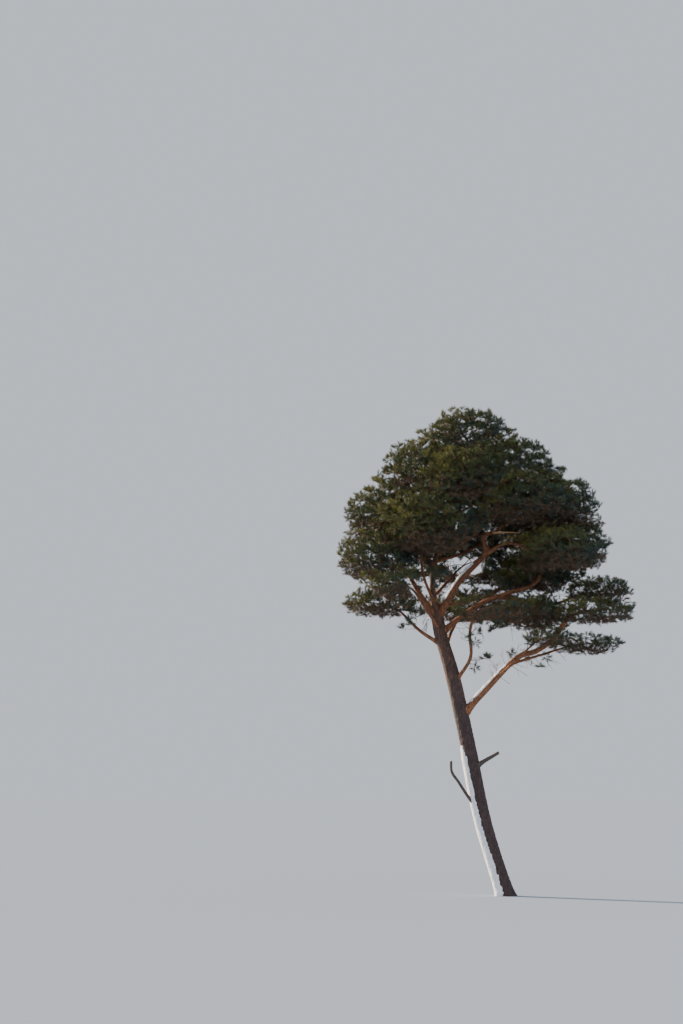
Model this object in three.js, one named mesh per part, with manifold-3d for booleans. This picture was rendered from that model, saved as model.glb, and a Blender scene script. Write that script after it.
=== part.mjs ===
// A windswept Scots pine on open moor. One bare trunk leans away from its foot and forks high up,
// the lowest live boughs sweep out to the right, and flat plates of needles grow in tiers to the top.
// Millimetres. +Z is up, +X is the side the crown reaches furthest to, and the viewer stands on -Y.
// The origin is the centre of the flat cut under the trunk.

import * as THREE from "three";
import { mergeVertices } from "three/addons/utils/BufferGeometryUtils.js";
import Module from "manifold-3d";

const wasm = await Module();
wasm.setup();

// Clearances: between pieces, round the wood, and between two spaces as a share of their size
const GAP = 0.3;
const TWIG_CLEARANCE = 14;
const SPACE_MARGIN = 0.035;
// Points of a finished solid closer than this are welded
const WOOD_WELD = 0.02;
const NEEDLE_WELD = 3;

// Trunk: height, east, north and radius of the bare stem at each station, without the root flare
const TRUNK_STATIONS = [
  [0, 0, 0, 234],
  [2020, -605, 20, 222],
  [4260, -1050, 40, 213],
  [6190, -1470, 60, 208],
  [7280, -1780, 80, 184],
  [7760, -1860, 90, 176],
  [8060, -1925, 92, 114],
  [8460, -1985, 90, 86],
  [9410, -1880, 60, 72],
  [10140, -1480, 20, 62],
  [11300, -1120, 0, 52],
  [12450, -820, 0, 34],
];
const TRUNK_SIDES = 16;
const TRUNK_RINGS = 24;
const FLARE = 56;
const FLARE_HEIGHT = 230;
const FLARE_LOBES = 5;
const FLARE_LOBE_DEPTH = 0.4;
const FLARE_TURN = 0.6;
const RING_CROWDING = 0.45;

// Snow that the wind has plastered on the trunk's left side
const SNOW_FIRST_SIDE = 5;
const SNOW_SIDES = 6;
const SNOW_RINGS = 11;
const SNOW_EDGE = 6;
const SNOW_DEPTH = 36;
const SNOW_TOP_DEPTH = 4;

// Limbs
const LIMB_SIDES = 6;
const LIMB_RING_SPACING = 620;
const LIMB_RINGS_LEAST = 3;
const TAPER_POWER = 0.8;
const TIP_DEPTH_IN_SPACE = 0.74;
const TIP_LEVELLING = 0.35;
const TIP_DROP = 0.3;
const HIDDEN_SAG = 0.06;
const HIDDEN_SWAY = 0.14;
const HIDDEN_TAPER = 0.55;
const THINNEST_TIP = 26;

// How finely the wood is sampled, and how far beyond a space it still counts
const WOOD_SAMPLES = 60;
const WOOD_SEARCH = 500;

// Needle masses. A stem runs through each space, side twigs leave it by turns, above it and below it.
const FIRST_SEED = 4001;
const SEED_STEP = 97;
const SIDE_TWIGS = 5;
const GOLDEN_ANGLE = Math.PI * (3 - Math.sqrt(5));
const STEM_RINGS = 3;
const STEM_REACH = 0.5;
const STEM_RISE = 0.1;
const STEM_STRAIGHT = 0.3;
const STEM_GIRTH = 0.9;
const TOP_STEM_LEAN = [0.3, -0.2, 1];
const SIDE_GIRTH = 0.7;
const SIDE_TURN = 0.8;
const SIDE_ROOT = [0.2, 0.5, 0.84];
const SIDE_ROOT_SPREAD = 0.36;
const SIDE_DROP = -0.7;
const SIDE_LEVEL_SPREAD = 0.2;
const SIDE_REACH = 0.56;
const SIDE_LEVEL = 0.36;
const TWIG_SIDES = 3;
const TWIG_TIP_RADIUS = 9;
const SPRAY_LENGTHS = [940, 860, 780, 700, 620, 540, 460, 380, 310];
const SPRAY_ROOT_DEPTH = 70;
const SPRAY_NEEDLES = 3;
const SPRAY_PROBE = 0.4;
// Along and out from the root of a spray, as shares of its length
const NEEDLE_TIP = [0.82, 0.44];
const CORE_WAIST = [0.42, 0.08];
// Where sprays leave the stem and each side twig: share of its length, turn in degrees and lift
const STEM_SPRAYS = [[1, 0, 0.15], [0.82, 62, 0.2], [0.55, -80, 1.5]];
const SIDE_SPRAYS = [[1, 0, 0.3], [0.6, 66, 0.4]];

// Colours
const BARK_GREY = 0x5e4b46;
const BARK_ORANGE = 0x96603f;
const DEAD_WOOD = 0x5b4a42;
const BROKEN_WOOD = 0xd9a066;
const SNOW_WHITE = 0xe6ebf2;
const NEEDLE_GREEN = 0x3f4a22;

// Limbs that show, each from the trunk or from a point along another limb.
// height: where it leaves the trunk. along: where it leaves its parent, as a share of that limb.
// through: points that it passes. tip: its end, or left out where it ends in its mass of needles.
const SHOWN_LIMBS = [
  {
    name: "bough_low_right", height: 4960, girth: [102, 66], mass: "needles_plate_right",
    through: [[-200, -60, 6030], [490, -140, 6640], [840, -190, 6730], [1330, -300, 7050]],
  },
  {
    name: "bough_crooked", height: 5860, girth: [54, 40], mass: "needles_inner_plate",
    through: [[-960, -330, 6560], [-985, -560, 7200]],
  },
  {
    name: "bough_long_right", height: 7260, girth: [84, 48], mass: "needles_right_mid",
    through: [[-1290, 90, 7640], [-640, 80, 8090], [60, 30, 8370], [830, 10, 8620], [1060, 20, 8930]],
  },
  {
    name: "fork_right", height: 7700, girth: [96, 80], tip: [-400, -220, 9560],
    through: [[-1230, -80, 8740], [-780, -160, 9190]],
  },
  {
    name: "fork_left", height: 7640, girth: [88, 46], mass: "needles_left_mid",
    through: [[-2410, -60, 8460], [-2780, -160, 9040]],
  },
  {
    name: "bough_pale", height: 8120, girth: [46, 30], mass: "needles_front_left_high",
    through: [[-2230, -320, 8760], [-2330, -700, 9300]],
  },
  {
    name: "fork_right_crook", parent: "fork_right", along: 0.96, girth: [66, 40],
    mass: "needles_right_shoulder",
    through: [[-545, -190, 9980], [-230, -150, 10110], [10, -110, 10300]],
  },
  {
    name: "fork_right_side", parent: "fork_right", along: 0.97, girth: [54, 34],
    mass: "needles_front_right", through: [[60, -420, 9750], [420, -640, 9660]],
  },
  {
    name: "bough_plate_mid", parent: "bough_long_right", along: 0.16, girth: [42, 28],
    mass: "needles_plate_mid", through: [[-650, -120, 7620]],
  },
  {
    name: "bough_back_right_low", parent: "bough_long_right", along: 0.21, girth: [46, 30],
    mass: "needles_back_right_low", through: [[-350, 850, 7800]],
  },
  {
    name: "bough_inner_right", parent: "bough_long_right", along: 0.3, girth: [46, 30],
    mass: "needles_right_inner", through: [[-150, 330, 8480]],
  },
  {
    name: "bough_outer_right", parent: "bough_long_right", along: 0.52, girth: [52, 34],
    mass: "needles_plate_right_upper", through: [[900, 160, 8170], [1500, 240, 8120]],
  },
  {
    name: "bough_under_right", parent: "bough_low_right", along: 0.5, girth: [44, 30],
    mass: "needles_plate_right_low", through: [[1150, 120, 6690]],
  },
  {
    name: "bough_under_front", parent: "bough_low_right", along: 0.34, girth: [38, 26],
    mass: "needles_plate_right_inner", through: [],
  },
];

// Dead wood: snags and stubs that carry no needles
const DEAD_LIMBS = [
  {
    name: "snag_left", height: 2130, girth: [46, 32], tip: [-1510, -170, 3690],
    through: [[-1040, -90, 2720], [-1320, -150, 3140], [-1490, -160, 3400]],
  },
  {
    name: "stub_right", height: 3480, girth: [64, 38], tip: [-190, -150, 3925],
    through: [[-640, -60, 3660], [-330, -120, 3840]],
  },
  {
    name: "broken_end", parent: "fork_right_crook", along: 0.4, girth: [34, 14],
    tip: [440, -330, 10050], through: [[120, -260, 10080]],
  },
];

// Masses of needles: centre and half sizes of the space that each keeps to. Where bough is given,
// it is the height at which a bough of the same name leaves the trunk for it, and its root radius.
const MASSES = [
  { name: "needles_crown_top", centre: [-1000, 0, 12900], half: [1150, 1150, 930] },
  { name: "needles_upper_right", centre: [200, -300, 11950], half: [1250, 1150, 900], bough: [10950, 46] },
  { name: "needles_upper_left", centre: [-2250, -250, 11850], half: [1200, 1150, 900], bough: [10800, 46] },
  { name: "needles_upper_back", centre: [-850, 1350, 11800], half: [1250, 1100, 900], bough: [10700, 46] },
  { name: "needles_upper_front", centre: [-1100, -1500, 11500], half: [1250, 1050, 830], bough: [10300, 46] },
  { name: "needles_right_shoulder", centre: [1550, 100, 10900], half: [1230, 1250, 860] },
  { name: "needles_front_right_high", centre: [450, -1400, 10900], half: [1250, 1050, 740], bough: [9500, 48] },
  { name: "needles_back_right_high", centre: [650, 1550, 10550], half: [1300, 1150, 880], bough: [9300, 54] },
  { name: "needles_left_shoulder", centre: [-3250, 100, 10650], half: [1230, 1300, 880], bough: [9150, 54] },
  { name: "needles_front_left_high", centre: [-2050, -1600, 10150], half: [1380, 1050, 920] },
  { name: "needles_back_left_high", centre: [-2300, 1650, 10350], half: [1300, 1150, 840], bough: [8950, 52] },
  { name: "needles_right_mid", centre: [1950, 100, 9700], half: [1120, 1100, 720] },
  { name: "needles_front_right", centre: [1500, -1400, 9450], half: [1080, 900, 640] },
  { name: "needles_left_mid", centre: [-3700, -350, 9350], half: [1130, 1150, 700] },
  { name: "needles_back_centre", centre: [-850, 2250, 9500], half: [1300, 1050, 760], bough: [8300, 58] },
  { name: "needles_back_right", centre: [1400, 1800, 9300], half: [1200, 1000, 700], bough: [8000, 60] },
  { name: "needles_right_inner", centre: [880, 520, 8860], half: [1060, 860, 430] },
  { name: "needles_plate_right_upper", centre: [2750, 450, 8500], half: [1120, 1000, 420] },
  { name: "needles_plate_right", centre: [2450, -500, 7850], half: [1430, 950, 400] },
  { name: "needles_plate_right_low", centre: [2350, 420, 7000], half: [1140, 880, 330] },
  { name: "needles_plate_right_inner", centre: [1150, -850, 7100], half: [760, 620, 290] },
  { name: "needles_plate_mid", centre: [650, -350, 7900], half: [950, 800, 380] },
  { name: "needles_inner_plate", centre: [-600, -950, 7900], half: [1050, 750, 400] },
  { name: "needles_left_low", centre: [-3500, 550, 8150], half: [1080, 1020, 440], bough: [6900, 62] },
  { name: "needles_back_low", centre: [-900, 1850, 8100], half: [1180, 950, 430], bough: [6800, 62] },
  { name: "needles_front_left_low", centre: [-2900, -1350, 8550], half: [1030, 930, 450], bough: [7380, 54] },
  { name: "needles_back_right_low", centre: [1150, 1800, 7800], half: [1080, 880, 410] },
];

const UP = new THREE.Vector3(0, 0, 1);

function vector([x, y, z]) {
  return new THREE.Vector3(x, y, z);
}

// Park and Miller's generator, so that the same seed always grows the same tree
function seeded(seed) {
  let state = seed;
  return () => {
    state = (state * 16807) % 2147483647;
    return state / 2147483647;
  };
}

// Solids

function solidOf(geometry) {
  geometry.deleteAttribute("normal");
  geometry.deleteAttribute("uv");
  const merged = mergeVertices(geometry, 0.001);
  const mesh = new wasm.Mesh({
    numProp: 3,
    vertProperties: new Float32Array(merged.attributes.position.array),
    triVerts: new Uint32Array(merged.index.array),
  });
  return new wasm.Manifold(mesh);
}

// The largest body of a solid: loose scraps and the shells of sealed hollows are left behind
function mainBody(solid, weld) {
  const bodies = solid.decompose();
  bodies.sort((a, b) => b.volume() - a.volume());
  return bodies[0].simplify(weld);
}

function geometryOf(solid) {
  const mesh = solid.getMesh();
  const geometry = new THREE.BufferGeometry();
  geometry.setAttribute("position", new THREE.BufferAttribute(mesh.vertProperties, 3));
  geometry.setIndex(new THREE.BufferAttribute(mesh.triVerts, 1));
  geometry.computeVertexNormals();
  return geometry;
}

// Trunk

const trunkCurve = new THREE.CatmullRomCurve3(TRUNK_STATIONS.map(([z, x, y]) => vector([x, y, z])));

function bareRadius(height) {
  const last = TRUNK_STATIONS.length - 1;
  let i = 0;
  while (i < last - 1 && TRUNK_STATIONS[i + 1][0] < height) i += 1;
  const [low, , , lowRadius] = TRUNK_STATIONS[i];
  const [high, , , highRadius] = TRUNK_STATIONS[i + 1];
  return THREE.MathUtils.lerp(lowRadius, highRadius, (height - low) / (high - low));
}

// A point on the bark at a height given as a share of the trunk, standing proud of it if asked
function barkPoint(share, angle, proud = 0) {
  const centre = trunkCurve.getPointAt(share);
  const lobes = 1 + FLARE_LOBE_DEPTH * Math.cos(FLARE_LOBES * angle + FLARE_TURN);
  const flare = FLARE * lobes * Math.exp(-centre.z / FLARE_HEIGHT);
  const radius = bareRadius(centre.z) + flare + proud;
  return vector([centre.x + radius * Math.cos(angle), centre.y + radius * Math.sin(angle), centre.z]);
}

// The trunk's rings lie level, closer together down at the flare
function ringShare(ring) {
  const t = ring / TRUNK_RINGS;
  return t * (1 - RING_CROWDING + RING_CROWDING * t);
}

function trunkSolid(growth) {
  const tube = new THREE.CylinderGeometry(1, 1, 1, TRUNK_SIDES, TRUNK_RINGS);
  const position = tube.attributes.position;
  for (let i = 0; i < position.count; i += 1) {
    const share = ringShare(Math.round((position.getY(i) + 0.5) * TRUNK_RINGS));
    const onAxis = Math.hypot(position.getX(i), position.getZ(i)) < 0.5;
    const angle = Math.atan2(-position.getZ(i), position.getX(i));
    const point = onAxis ? trunkCurve.getPointAt(share) : barkPoint(share, angle, growth);
    if (share === 1) point.z += growth;
    position.setXYZ(i, point.x, point.y, point.z);
  }
  return solidOf(tube);
}

function trunkAxisAt(height) {
  let low = 0;
  let high = 1;
  for (let step = 0; step < 30; step += 1) {
    const middle = (low + high) / 2;
    if (trunkCurve.getPointAt(middle).z < height) low = middle;
    else high = middle;
  }
  return trunkCurve.getPointAt(low);
}

function snowSolid() {
  const slab = new THREE.BoxGeometry(1, 1, 1, SNOW_SIDES, 1, SNOW_RINGS);
  const position = slab.attributes.position;
  for (let i = 0; i < position.count; i += 1) {
    const across = 0.5 - position.getX(i);
    const ring = Math.round((position.getZ(i) + 0.5) * SNOW_RINGS);
    const angle = ((SNOW_FIRST_SIDE + across * SNOW_SIDES) / TRUNK_SIDES) * 2 * Math.PI;
    const crest = ring < SNOW_RINGS ? SNOW_DEPTH : SNOW_TOP_DEPTH;
    const depth = SNOW_EDGE + crest * Math.sin(across * Math.PI);
    const proud = position.getY(i) > 0 ? GAP + depth : -SNOW_EDGE;
    const point = barkPoint(ringShare(ring), angle, proud);
    position.setXYZ(i, point.x, point.y, point.z);
  }
  return solidOf(slab);
}

// Limbs

function limbRadius(limb, share) {
  const [root, tip] = limb.girth;
  return THREE.MathUtils.lerp(root, tip, share ** TAPER_POWER);
}

function taperedTube(curve, radiusAt, sides, rings, growth = 0) {
  const tube = new THREE.CylinderGeometry(1, 1, 1, sides, rings);
  const frames = curve.computeFrenetFrames(rings, false);
  const position = tube.attributes.position;
  for (let i = 0; i < position.count; i += 1) {
    const ring = Math.round((position.getY(i) + 0.5) * rings);
    const radius = radiusAt(ring / rings) + growth;
    const point = curve.getPointAt(ring / rings);
    point.addScaledVector(frames.normals[ring], position.getX(i) * radius);
    point.addScaledVector(frames.binormals[ring], -position.getZ(i) * radius);
    if (ring === rings) point.addScaledVector(frames.tangents[ring], growth);
    position.setXYZ(i, point.x, point.y, point.z);
  }
  return solidOf(tube);
}

// Where a bough ends: just inside the near edge of the space that its needles keep to
function tipInMass(mass, from) {
  const centre = vector(mass.centre);
  const inward = from.clone().sub(centre);
  const scaled = vector(mass.half.map((half, axis) => inward.getComponent(axis) / half));
  scaled.z *= TIP_LEVELLING;
  const step = scaled.setLength(TIP_DEPTH_IN_SPACE);
  const [halfX, halfY, halfZ] = mass.half;
  return vector([
    centre.x + step.x * halfX,
    centre.y + step.y * halfY,
    centre.z + (step.z - TIP_DROP) * halfZ,
  ]);
}

// Hidden boughs leave the trunk, sag a little on the way and rise to their needles
function hiddenLimb(mass) {
  const [height, rootRadius] = mass.bough;
  const start = trunkAxisAt(height);
  const tip = tipInMass(mass, start);
  const middle = start.clone().lerp(tip, 0.5);
  const span = start.distanceTo(tip);
  const aside = tip.clone().sub(start).cross(UP).normalize();
  const sway = seeded(height)() - 0.5;
  middle.addScaledVector(aside, HIDDEN_SWAY * span * sway);
  middle.z -= HIDDEN_SAG * span;
  return {
    name: mass.name.replace("needles", "bough"),
    height,
    girth: [rootRadius, Math.max(THINNEST_TIP, rootRadius * HIDDEN_TAPER)],
    through: [middle.toArray()],
    mass: mass.name,
  };
}

const massByName = new Map(MASSES.map((mass) => [mass.name, mass]));
const hiddenLimbs = MASSES.filter((mass) => mass.bough).map(hiddenLimb);
const limbs = [...SHOWN_LIMBS, ...hiddenLimbs, ...DEAD_LIMBS];

function limbCurve(limb) {
  const start = limb.parent
    ? limbs.find((other) => other.name === limb.parent).curve.getPointAt(limb.along)
    : trunkAxisAt(limb.height);
  const through = limb.through.map(vector);
  const last = through.length ? through[through.length - 1] : start;
  const tip = limb.tip ? vector(limb.tip) : tipInMass(massByName.get(limb.mass), last);
  return new THREE.CatmullRomCurve3([start, ...through, tip]);
}

for (const limb of limbs) {
  limb.curve = limbCurve(limb);
  limb.rings = Math.max(LIMB_RINGS_LEAST, Math.round(limb.curve.getLength() / LIMB_RING_SPACING));
}

function limbSolid(limb, growth) {
  return taperedTube(limb.curve, (share) => limbRadius(limb, share), LIMB_SIDES, limb.rings, growth);
}

// Wood that needles must stay clear of: points along the trunk and every limb, with the radius there

function woodSamples(curve, radiusAt, owner) {
  return curve.getSpacedPoints(WOOD_SAMPLES).map((point, i) => ({
    point,
    radius: radiusAt(point, i / WOOD_SAMPLES),
    owner,
  }));
}

const wood = woodSamples(trunkCurve, (point) => bareRadius(point.z), "trunk");
for (const limb of limbs) {
  wood.push(...woodSamples(limb.curve, (point, share) => limbRadius(limb, share), limb.name));
}

// Needle masses

function depthInSpace(mass, point) {
  const scaled = mass.half.map((half, axis) => (point.getComponent(axis) - mass.centre[axis]) / half);
  return Math.hypot(...scaled);
}

function isInOwnSpace(mass, point) {
  const own = depthInSpace(mass, point);
  if (own > 1) return false;
  return MASSES.every((other) => other === mass || own + SPACE_MARGIN < depthInSpace(other, point));
}

function isClearOfWood(point, radius, nearWood) {
  return nearWood.every((sample) => sample.point.distanceTo(point) > sample.radius + radius + TWIG_CLEARANCE);
}

// The stem starts a gap's width beyond the bough's tip, or the trunk's, and runs on through the space
function stemOf(mass) {
  const limb = limbs.find((other) => other.mass === mass.name);
  const carrier = limb ? limb.curve : trunkCurve;
  const tip = carrier.getPointAt(1);
  const heading = limb ? carrier.getTangentAt(1) : UP;
  const start = tip.clone().addScaledVector(heading, GAP);
  const out = vector(mass.centre).sub(start);
  const outward = vector(limb ? [out.x, out.y, 0] : TOP_STEM_LEAN).normalize();
  const far = vector(mass.centre);
  far.x += outward.x * mass.half[0] * STEM_REACH;
  far.y += outward.y * mass.half[1] * STEM_REACH;
  far.z += mass.half[2] * STEM_RISE;
  const near = start.clone().addScaledVector(heading, start.distanceTo(far) * STEM_STRAIGHT);
  const curve = new THREE.CubicBezierCurve3(start, near, vector(mass.centre), far);
  const carrierRadius = limb ? limb.girth[1] : TRUNK_STATIONS[TRUNK_STATIONS.length - 1][3];
  const radius = carrierRadius * STEM_GIRTH;
  return { curve, radius, outward, limb, carrier: limb ? limb.name : "trunk" };
}

function twigSolid(start, end, startRadius, endRadius) {
  const radiusAt = (share) => THREE.MathUtils.lerp(startRadius, endRadius, share);
  return taperedTube(new THREE.LineCurve3(start, end), radiusAt, TWIG_SIDES, 1);
}

// One spray of needles: a slim core that runs from root to tip, with needles standing out round it
function sprayFrame(direction, roll) {
  const across = new THREE.Vector3().crossVectors(UP, direction).normalize();
  across.applyAxisAngle(direction, roll);
  const normal = new THREE.Vector3().crossVectors(direction, across);
  return { direction, across, normal };
}

function sprayPoint(root, frame, along, radius, angle) {
  const point = root.clone().addScaledVector(frame.direction, along);
  point.addScaledVector(frame.across, radius * Math.cos(angle));
  return point.addScaledVector(frame.normal, radius * Math.sin(angle));
}

// Round the waist of a spray every second point is the tip of a standing needle, the rest lie on the core
function waistPoint(root, frame, length, index) {
  const angle = (index / (2 * SPRAY_NEEDLES)) * 2 * Math.PI;
  const [along, radius] = index % 2 === 0 ? NEEDLE_TIP : CORE_WAIST;
  return sprayPoint(root, frame, along * length, radius * length, angle);
}

function spraySolid(root, frame, length) {
  const count = 2 * SPRAY_NEEDLES;
  const spray = new THREE.SphereGeometry(1, count, 2);
  const position = spray.attributes.position;
  const tip = sprayPoint(root, frame, length, 0, 0);
  for (let i = 0; i < position.count; i += 1) {
    const row = Math.floor(i / (count + 1));
    const waist = waistPoint(root, frame, length, (i % (count + 1)) % count);
    const point = [tip, waist, root][row];
    position.setXYZ(i, point.x, point.y, point.z);
  }
  return solidOf(spray);
}

// A spray as long as its space and its neighbours allow, or nothing where even the shortest won't fit
function fittedSpray(mass, nearWood, neighbours, root, direction, roll) {
  const frame = sprayFrame(direction, roll);
  const start = root.clone().addScaledVector(direction, -SPRAY_ROOT_DEPTH);
  for (const length of SPRAY_LENGTHS) {
    const edge = [sprayPoint(start, frame, length, 0, 0)];
    for (let i = 0; i < 2 * SPRAY_NEEDLES; i += 1) edge.push(waistPoint(start, frame, length, i));
    const inner = edge.map((point) => point.clone().lerp(start, SPRAY_PROBE));
    const fits = [...edge, ...inner].every((point) => (
      isInOwnSpace(mass, point) && isClearOfWood(point, CORE_WAIST[1] * length, nearWood)
    ));
    if (!fits) continue;
    const spray = spraySolid(start, frame, length);
    if (neighbours.every((other) => spray.minGap(other, 2) > 1)) return spray;
  }
  return null;
}

function turned(direction, degrees, lift) {
  const aside = direction.clone().applyAxisAngle(UP, THREE.MathUtils.degToRad(degrees));
  aside.z += lift;
  return aside.normalize();
}

function growMass(mass, seed) {
  const random = seeded(seed);
  const stem = stemOf(mass);
  const centre = vector(mass.centre);
  const reach = Math.max(...mass.half) + WOOD_SEARCH;
  const nearWood = wood.filter((sample) => sample.point.distanceTo(centre) < reach);
  const otherWood = nearWood.filter((sample) => sample.owner !== stem.carrier);
  const stemRadius = (share) => THREE.MathUtils.lerp(stem.radius, TWIG_TIP_RADIUS, share);
  const stemHeading = stem.curve.getTangentAt(1);
  const twigs = [{
    solid: taperedTube(stem.curve, stemRadius, TWIG_SIDES, STEM_RINGS),
    pointAt: (share) => stem.curve.getPointAt(share),
    heading: stemHeading,
    side: 1,
    sprays: STEM_SPRAYS,
  }];

  const outAngle = Math.atan2(stem.outward.y, stem.outward.x);
  const turn = (random() - 0.5) * SIDE_TURN;
  for (let i = 0; i < SIDE_TWIGS; i += 1) {
    const angle = outAngle + turn + (i + 0.5) * GOLDEN_ANGLE;
    const side = i % 2 === 0 ? 1 : SIDE_DROP;
    const end = centre.clone();
    end.x += Math.cos(angle) * mass.half[0] * SIDE_REACH;
    end.y += Math.sin(angle) * mass.half[1] * SIDE_REACH;
    end.z += mass.half[2] * side * (SIDE_LEVEL + SIDE_LEVEL_SPREAD * (random() - 0.5));
    const [lowest, middle, highest] = SIDE_ROOT;
    const share = THREE.MathUtils.clamp(
      middle + SIDE_ROOT_SPREAD * Math.cos(angle - outAngle), lowest, highest,
    );
    const root = stem.curve.getPointAt(share);
    const fits = [root.clone().lerp(end, 0.5), end].every((point) => (
      isInOwnSpace(mass, point) && isClearOfWood(point, TWIG_TIP_RADIUS, nearWood)
    ));
    if (!fits || !isClearOfWood(root, stemRadius(share), otherWood)) continue;
    twigs.push({
      solid: twigSolid(root, end, stemRadius(share) * SIDE_GIRTH, TWIG_TIP_RADIUS),
      pointAt: (along) => root.clone().lerp(end, along),
      heading: end.clone().sub(root).normalize(),
      side,
      sprays: SIDE_SPRAYS,
    });
  }

  const sprays = [];
  for (const twig of twigs) {
    const others = twigs.filter((other) => other !== twig).map((other) => other.solid);
    for (const [along, degrees, lift] of twig.sprays) {
      const direction = turned(twig.heading, degrees, twig.side * lift);
      const roll = random() * Math.PI;
      const neighbours = [...sprays, ...others];
      const spray = fittedSpray(mass, nearWood, neighbours, twig.pointAt(along), direction, roll);
      if (spray) sprays.push(spray);
    }
  }
  const pieces = [...twigs.map((twig) => twig.solid), ...sprays];
  const grown = mainBody(pieces.reduce((whole, piece) => whole.add(piece)), NEEDLE_WELD);
  const carrier = stem.limb ? limbSolid(stem.limb, GAP) : trunkSolid(GAP);
  return mainBody(grown.subtract(carrier), WOOD_WELD);
}

// The tree

function meshOf(name, solid, colour, roughness) {
  const finish = { color: colour, roughness, metalness: 0, flatShading: true };
  const material = new THREE.MeshStandardMaterial(finish);
  const mesh = new THREE.Mesh(geometryOf(solid), material);
  mesh.name = name;
  return mesh;
}

function limbColour(limb) {
  if (limb.name === "broken_end") return BROKEN_WOOD;
  return limb.mass || limb.name === "fork_right" ? BARK_ORANGE : DEAD_WOOD;
}

// Each limb is cut clear of the trunk and of every limb laid before it
function cutLimbs() {
  let standing = trunkSolid(GAP);
  return limbs.map((limb) => {
    const solid = mainBody(limbSolid(limb, 0).subtract(standing), WOOD_WELD);
    standing = standing.add(limbSolid(limb, GAP));
    return { limb, solid };
  });
}

// The snow lies on the bark and round the foot of the snag that stands out of it
function cutSnow() {
  const snag = limbs.find((limb) => limb.name === "snag_left");
  return mainBody(snowSolid().subtract(trunkSolid(GAP)).subtract(limbSolid(snag, GAP)), WOOD_WELD);
}

const tree = new THREE.Group();
tree.add(meshOf("trunk", trunkSolid(0), BARK_GREY, 0.95));
tree.add(meshOf("snow_on_trunk", cutSnow(), SNOW_WHITE, 0.6));
for (const { limb, solid } of cutLimbs()) {
  tree.add(meshOf(limb.name, solid, limbColour(limb), 0.9));
}
MASSES.forEach((mass, index) => {
  tree.add(meshOf(mass.name, growMass(mass, FIRST_SEED + SEED_STEP * index), NEEDLE_GREEN, 0.85));
});

export default tree;
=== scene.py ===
import math

import bmesh
import bpy
import numpy as np
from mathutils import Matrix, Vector, noise
from numpy.linalg import norm


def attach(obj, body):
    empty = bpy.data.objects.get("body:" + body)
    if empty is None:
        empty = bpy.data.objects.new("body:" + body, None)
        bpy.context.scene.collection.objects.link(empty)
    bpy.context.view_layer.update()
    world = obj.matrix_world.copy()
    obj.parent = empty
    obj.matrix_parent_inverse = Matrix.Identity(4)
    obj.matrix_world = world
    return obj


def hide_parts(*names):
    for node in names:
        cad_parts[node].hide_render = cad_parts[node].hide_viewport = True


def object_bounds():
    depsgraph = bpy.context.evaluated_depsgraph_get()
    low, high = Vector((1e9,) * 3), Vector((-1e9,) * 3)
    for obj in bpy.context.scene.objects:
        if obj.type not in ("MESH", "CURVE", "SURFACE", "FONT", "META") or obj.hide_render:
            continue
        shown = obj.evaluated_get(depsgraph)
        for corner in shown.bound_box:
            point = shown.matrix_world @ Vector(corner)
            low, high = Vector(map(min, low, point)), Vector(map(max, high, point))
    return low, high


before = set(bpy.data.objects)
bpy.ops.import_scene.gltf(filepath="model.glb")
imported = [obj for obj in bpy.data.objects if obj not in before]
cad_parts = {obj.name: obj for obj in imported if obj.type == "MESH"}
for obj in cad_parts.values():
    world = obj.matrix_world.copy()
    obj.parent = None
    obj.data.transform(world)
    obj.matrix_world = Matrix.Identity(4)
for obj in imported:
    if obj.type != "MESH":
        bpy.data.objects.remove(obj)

cad_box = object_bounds()


# Trunk. One bare stem that leans away from its foot, flared over the roots and cut flat at the ground.
# Thick grey-brown plates of bark cover it low down, and they thin out to flakes of orange paper higher up.

# Height, place and radius of the bare stem, from the foot to the top of the leader
TRUNK_STATIONS = (
    (0, 0, 0, 0.234),
    (2.02, -0.605, 0.02, 0.222),
    (4.26, -1.05, 0.04, 0.213),
    (6.19, -1.47, 0.06, 0.208),
    (7.28, -1.78, 0.08, 0.184),
    (7.76, -1.86, 0.09, 0.176),
    (8.06, -1.925, 0.092, 0.114),
    (8.46, -1.985, 0.09, 0.086),
    (9.41, -1.88, 0.06, 0.072),
    (10.14, -1.48, 0.02, 0.062),
    (11.3, -1.12, 0, 0.052),
    (12.45, -0.82, 0, 0.034),
)
TRUNK_COLUMNS = 80
TRUNK_ROWS = 640
FLARE = 0.056
FLARE_HEIGHT = 0.23
FLARE_LOBES = 5
FLARE_LOBE_DEPTH = 0.4
FLARE_TURN = 0.6
PLATE_LOW = (0.062, 0.2)
PLATE_HIGH = (0.045, 0.1)
PLATE_DEPTH_LOW = 0.015
PLATE_DEPTH_HIGH = 0.006
PLATE_LEVEL = 0.7
CRACK_SHARE = 0.34
FLAKES_FROM, FLAKES_ALL = 3.5, 8
GRAIN_SIZE = 0.06
GRAIN_DEPTH = 0.003


def smooth_path(points, steps=120):
    """Evenly spaced points on the centripetal spline through the given ones."""
    given = np.array(points, float)
    ends = np.vstack([2 * given[0] - given[1], given, 2 * given[-1] - given[-2]])
    fine = []
    for a, b, c, d in zip(ends, ends[1:], ends[2:], ends[3:]):
        before, here, after = (norm(v) ** 0.5 for v in (b - a, c - b, d - c))
        leave = ((b - a) / before - (c - a) / (before + here) + (c - b) / here) * here
        arrive = ((c - b) / here - (d - b) / (here + after) + (d - c) / after) * here
        t = np.linspace(0, 1, 40, endpoint=False)[:, None]
        square = 3 * (c - b) - 2 * leave - arrive
        cube = 2 * (b - c) + leave + arrive
        fine.append(b + leave * t + square * t ** 2 + cube * t ** 3)
    fine = np.vstack(fine + [given[-1:]])
    return evenly(fine, steps)


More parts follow.
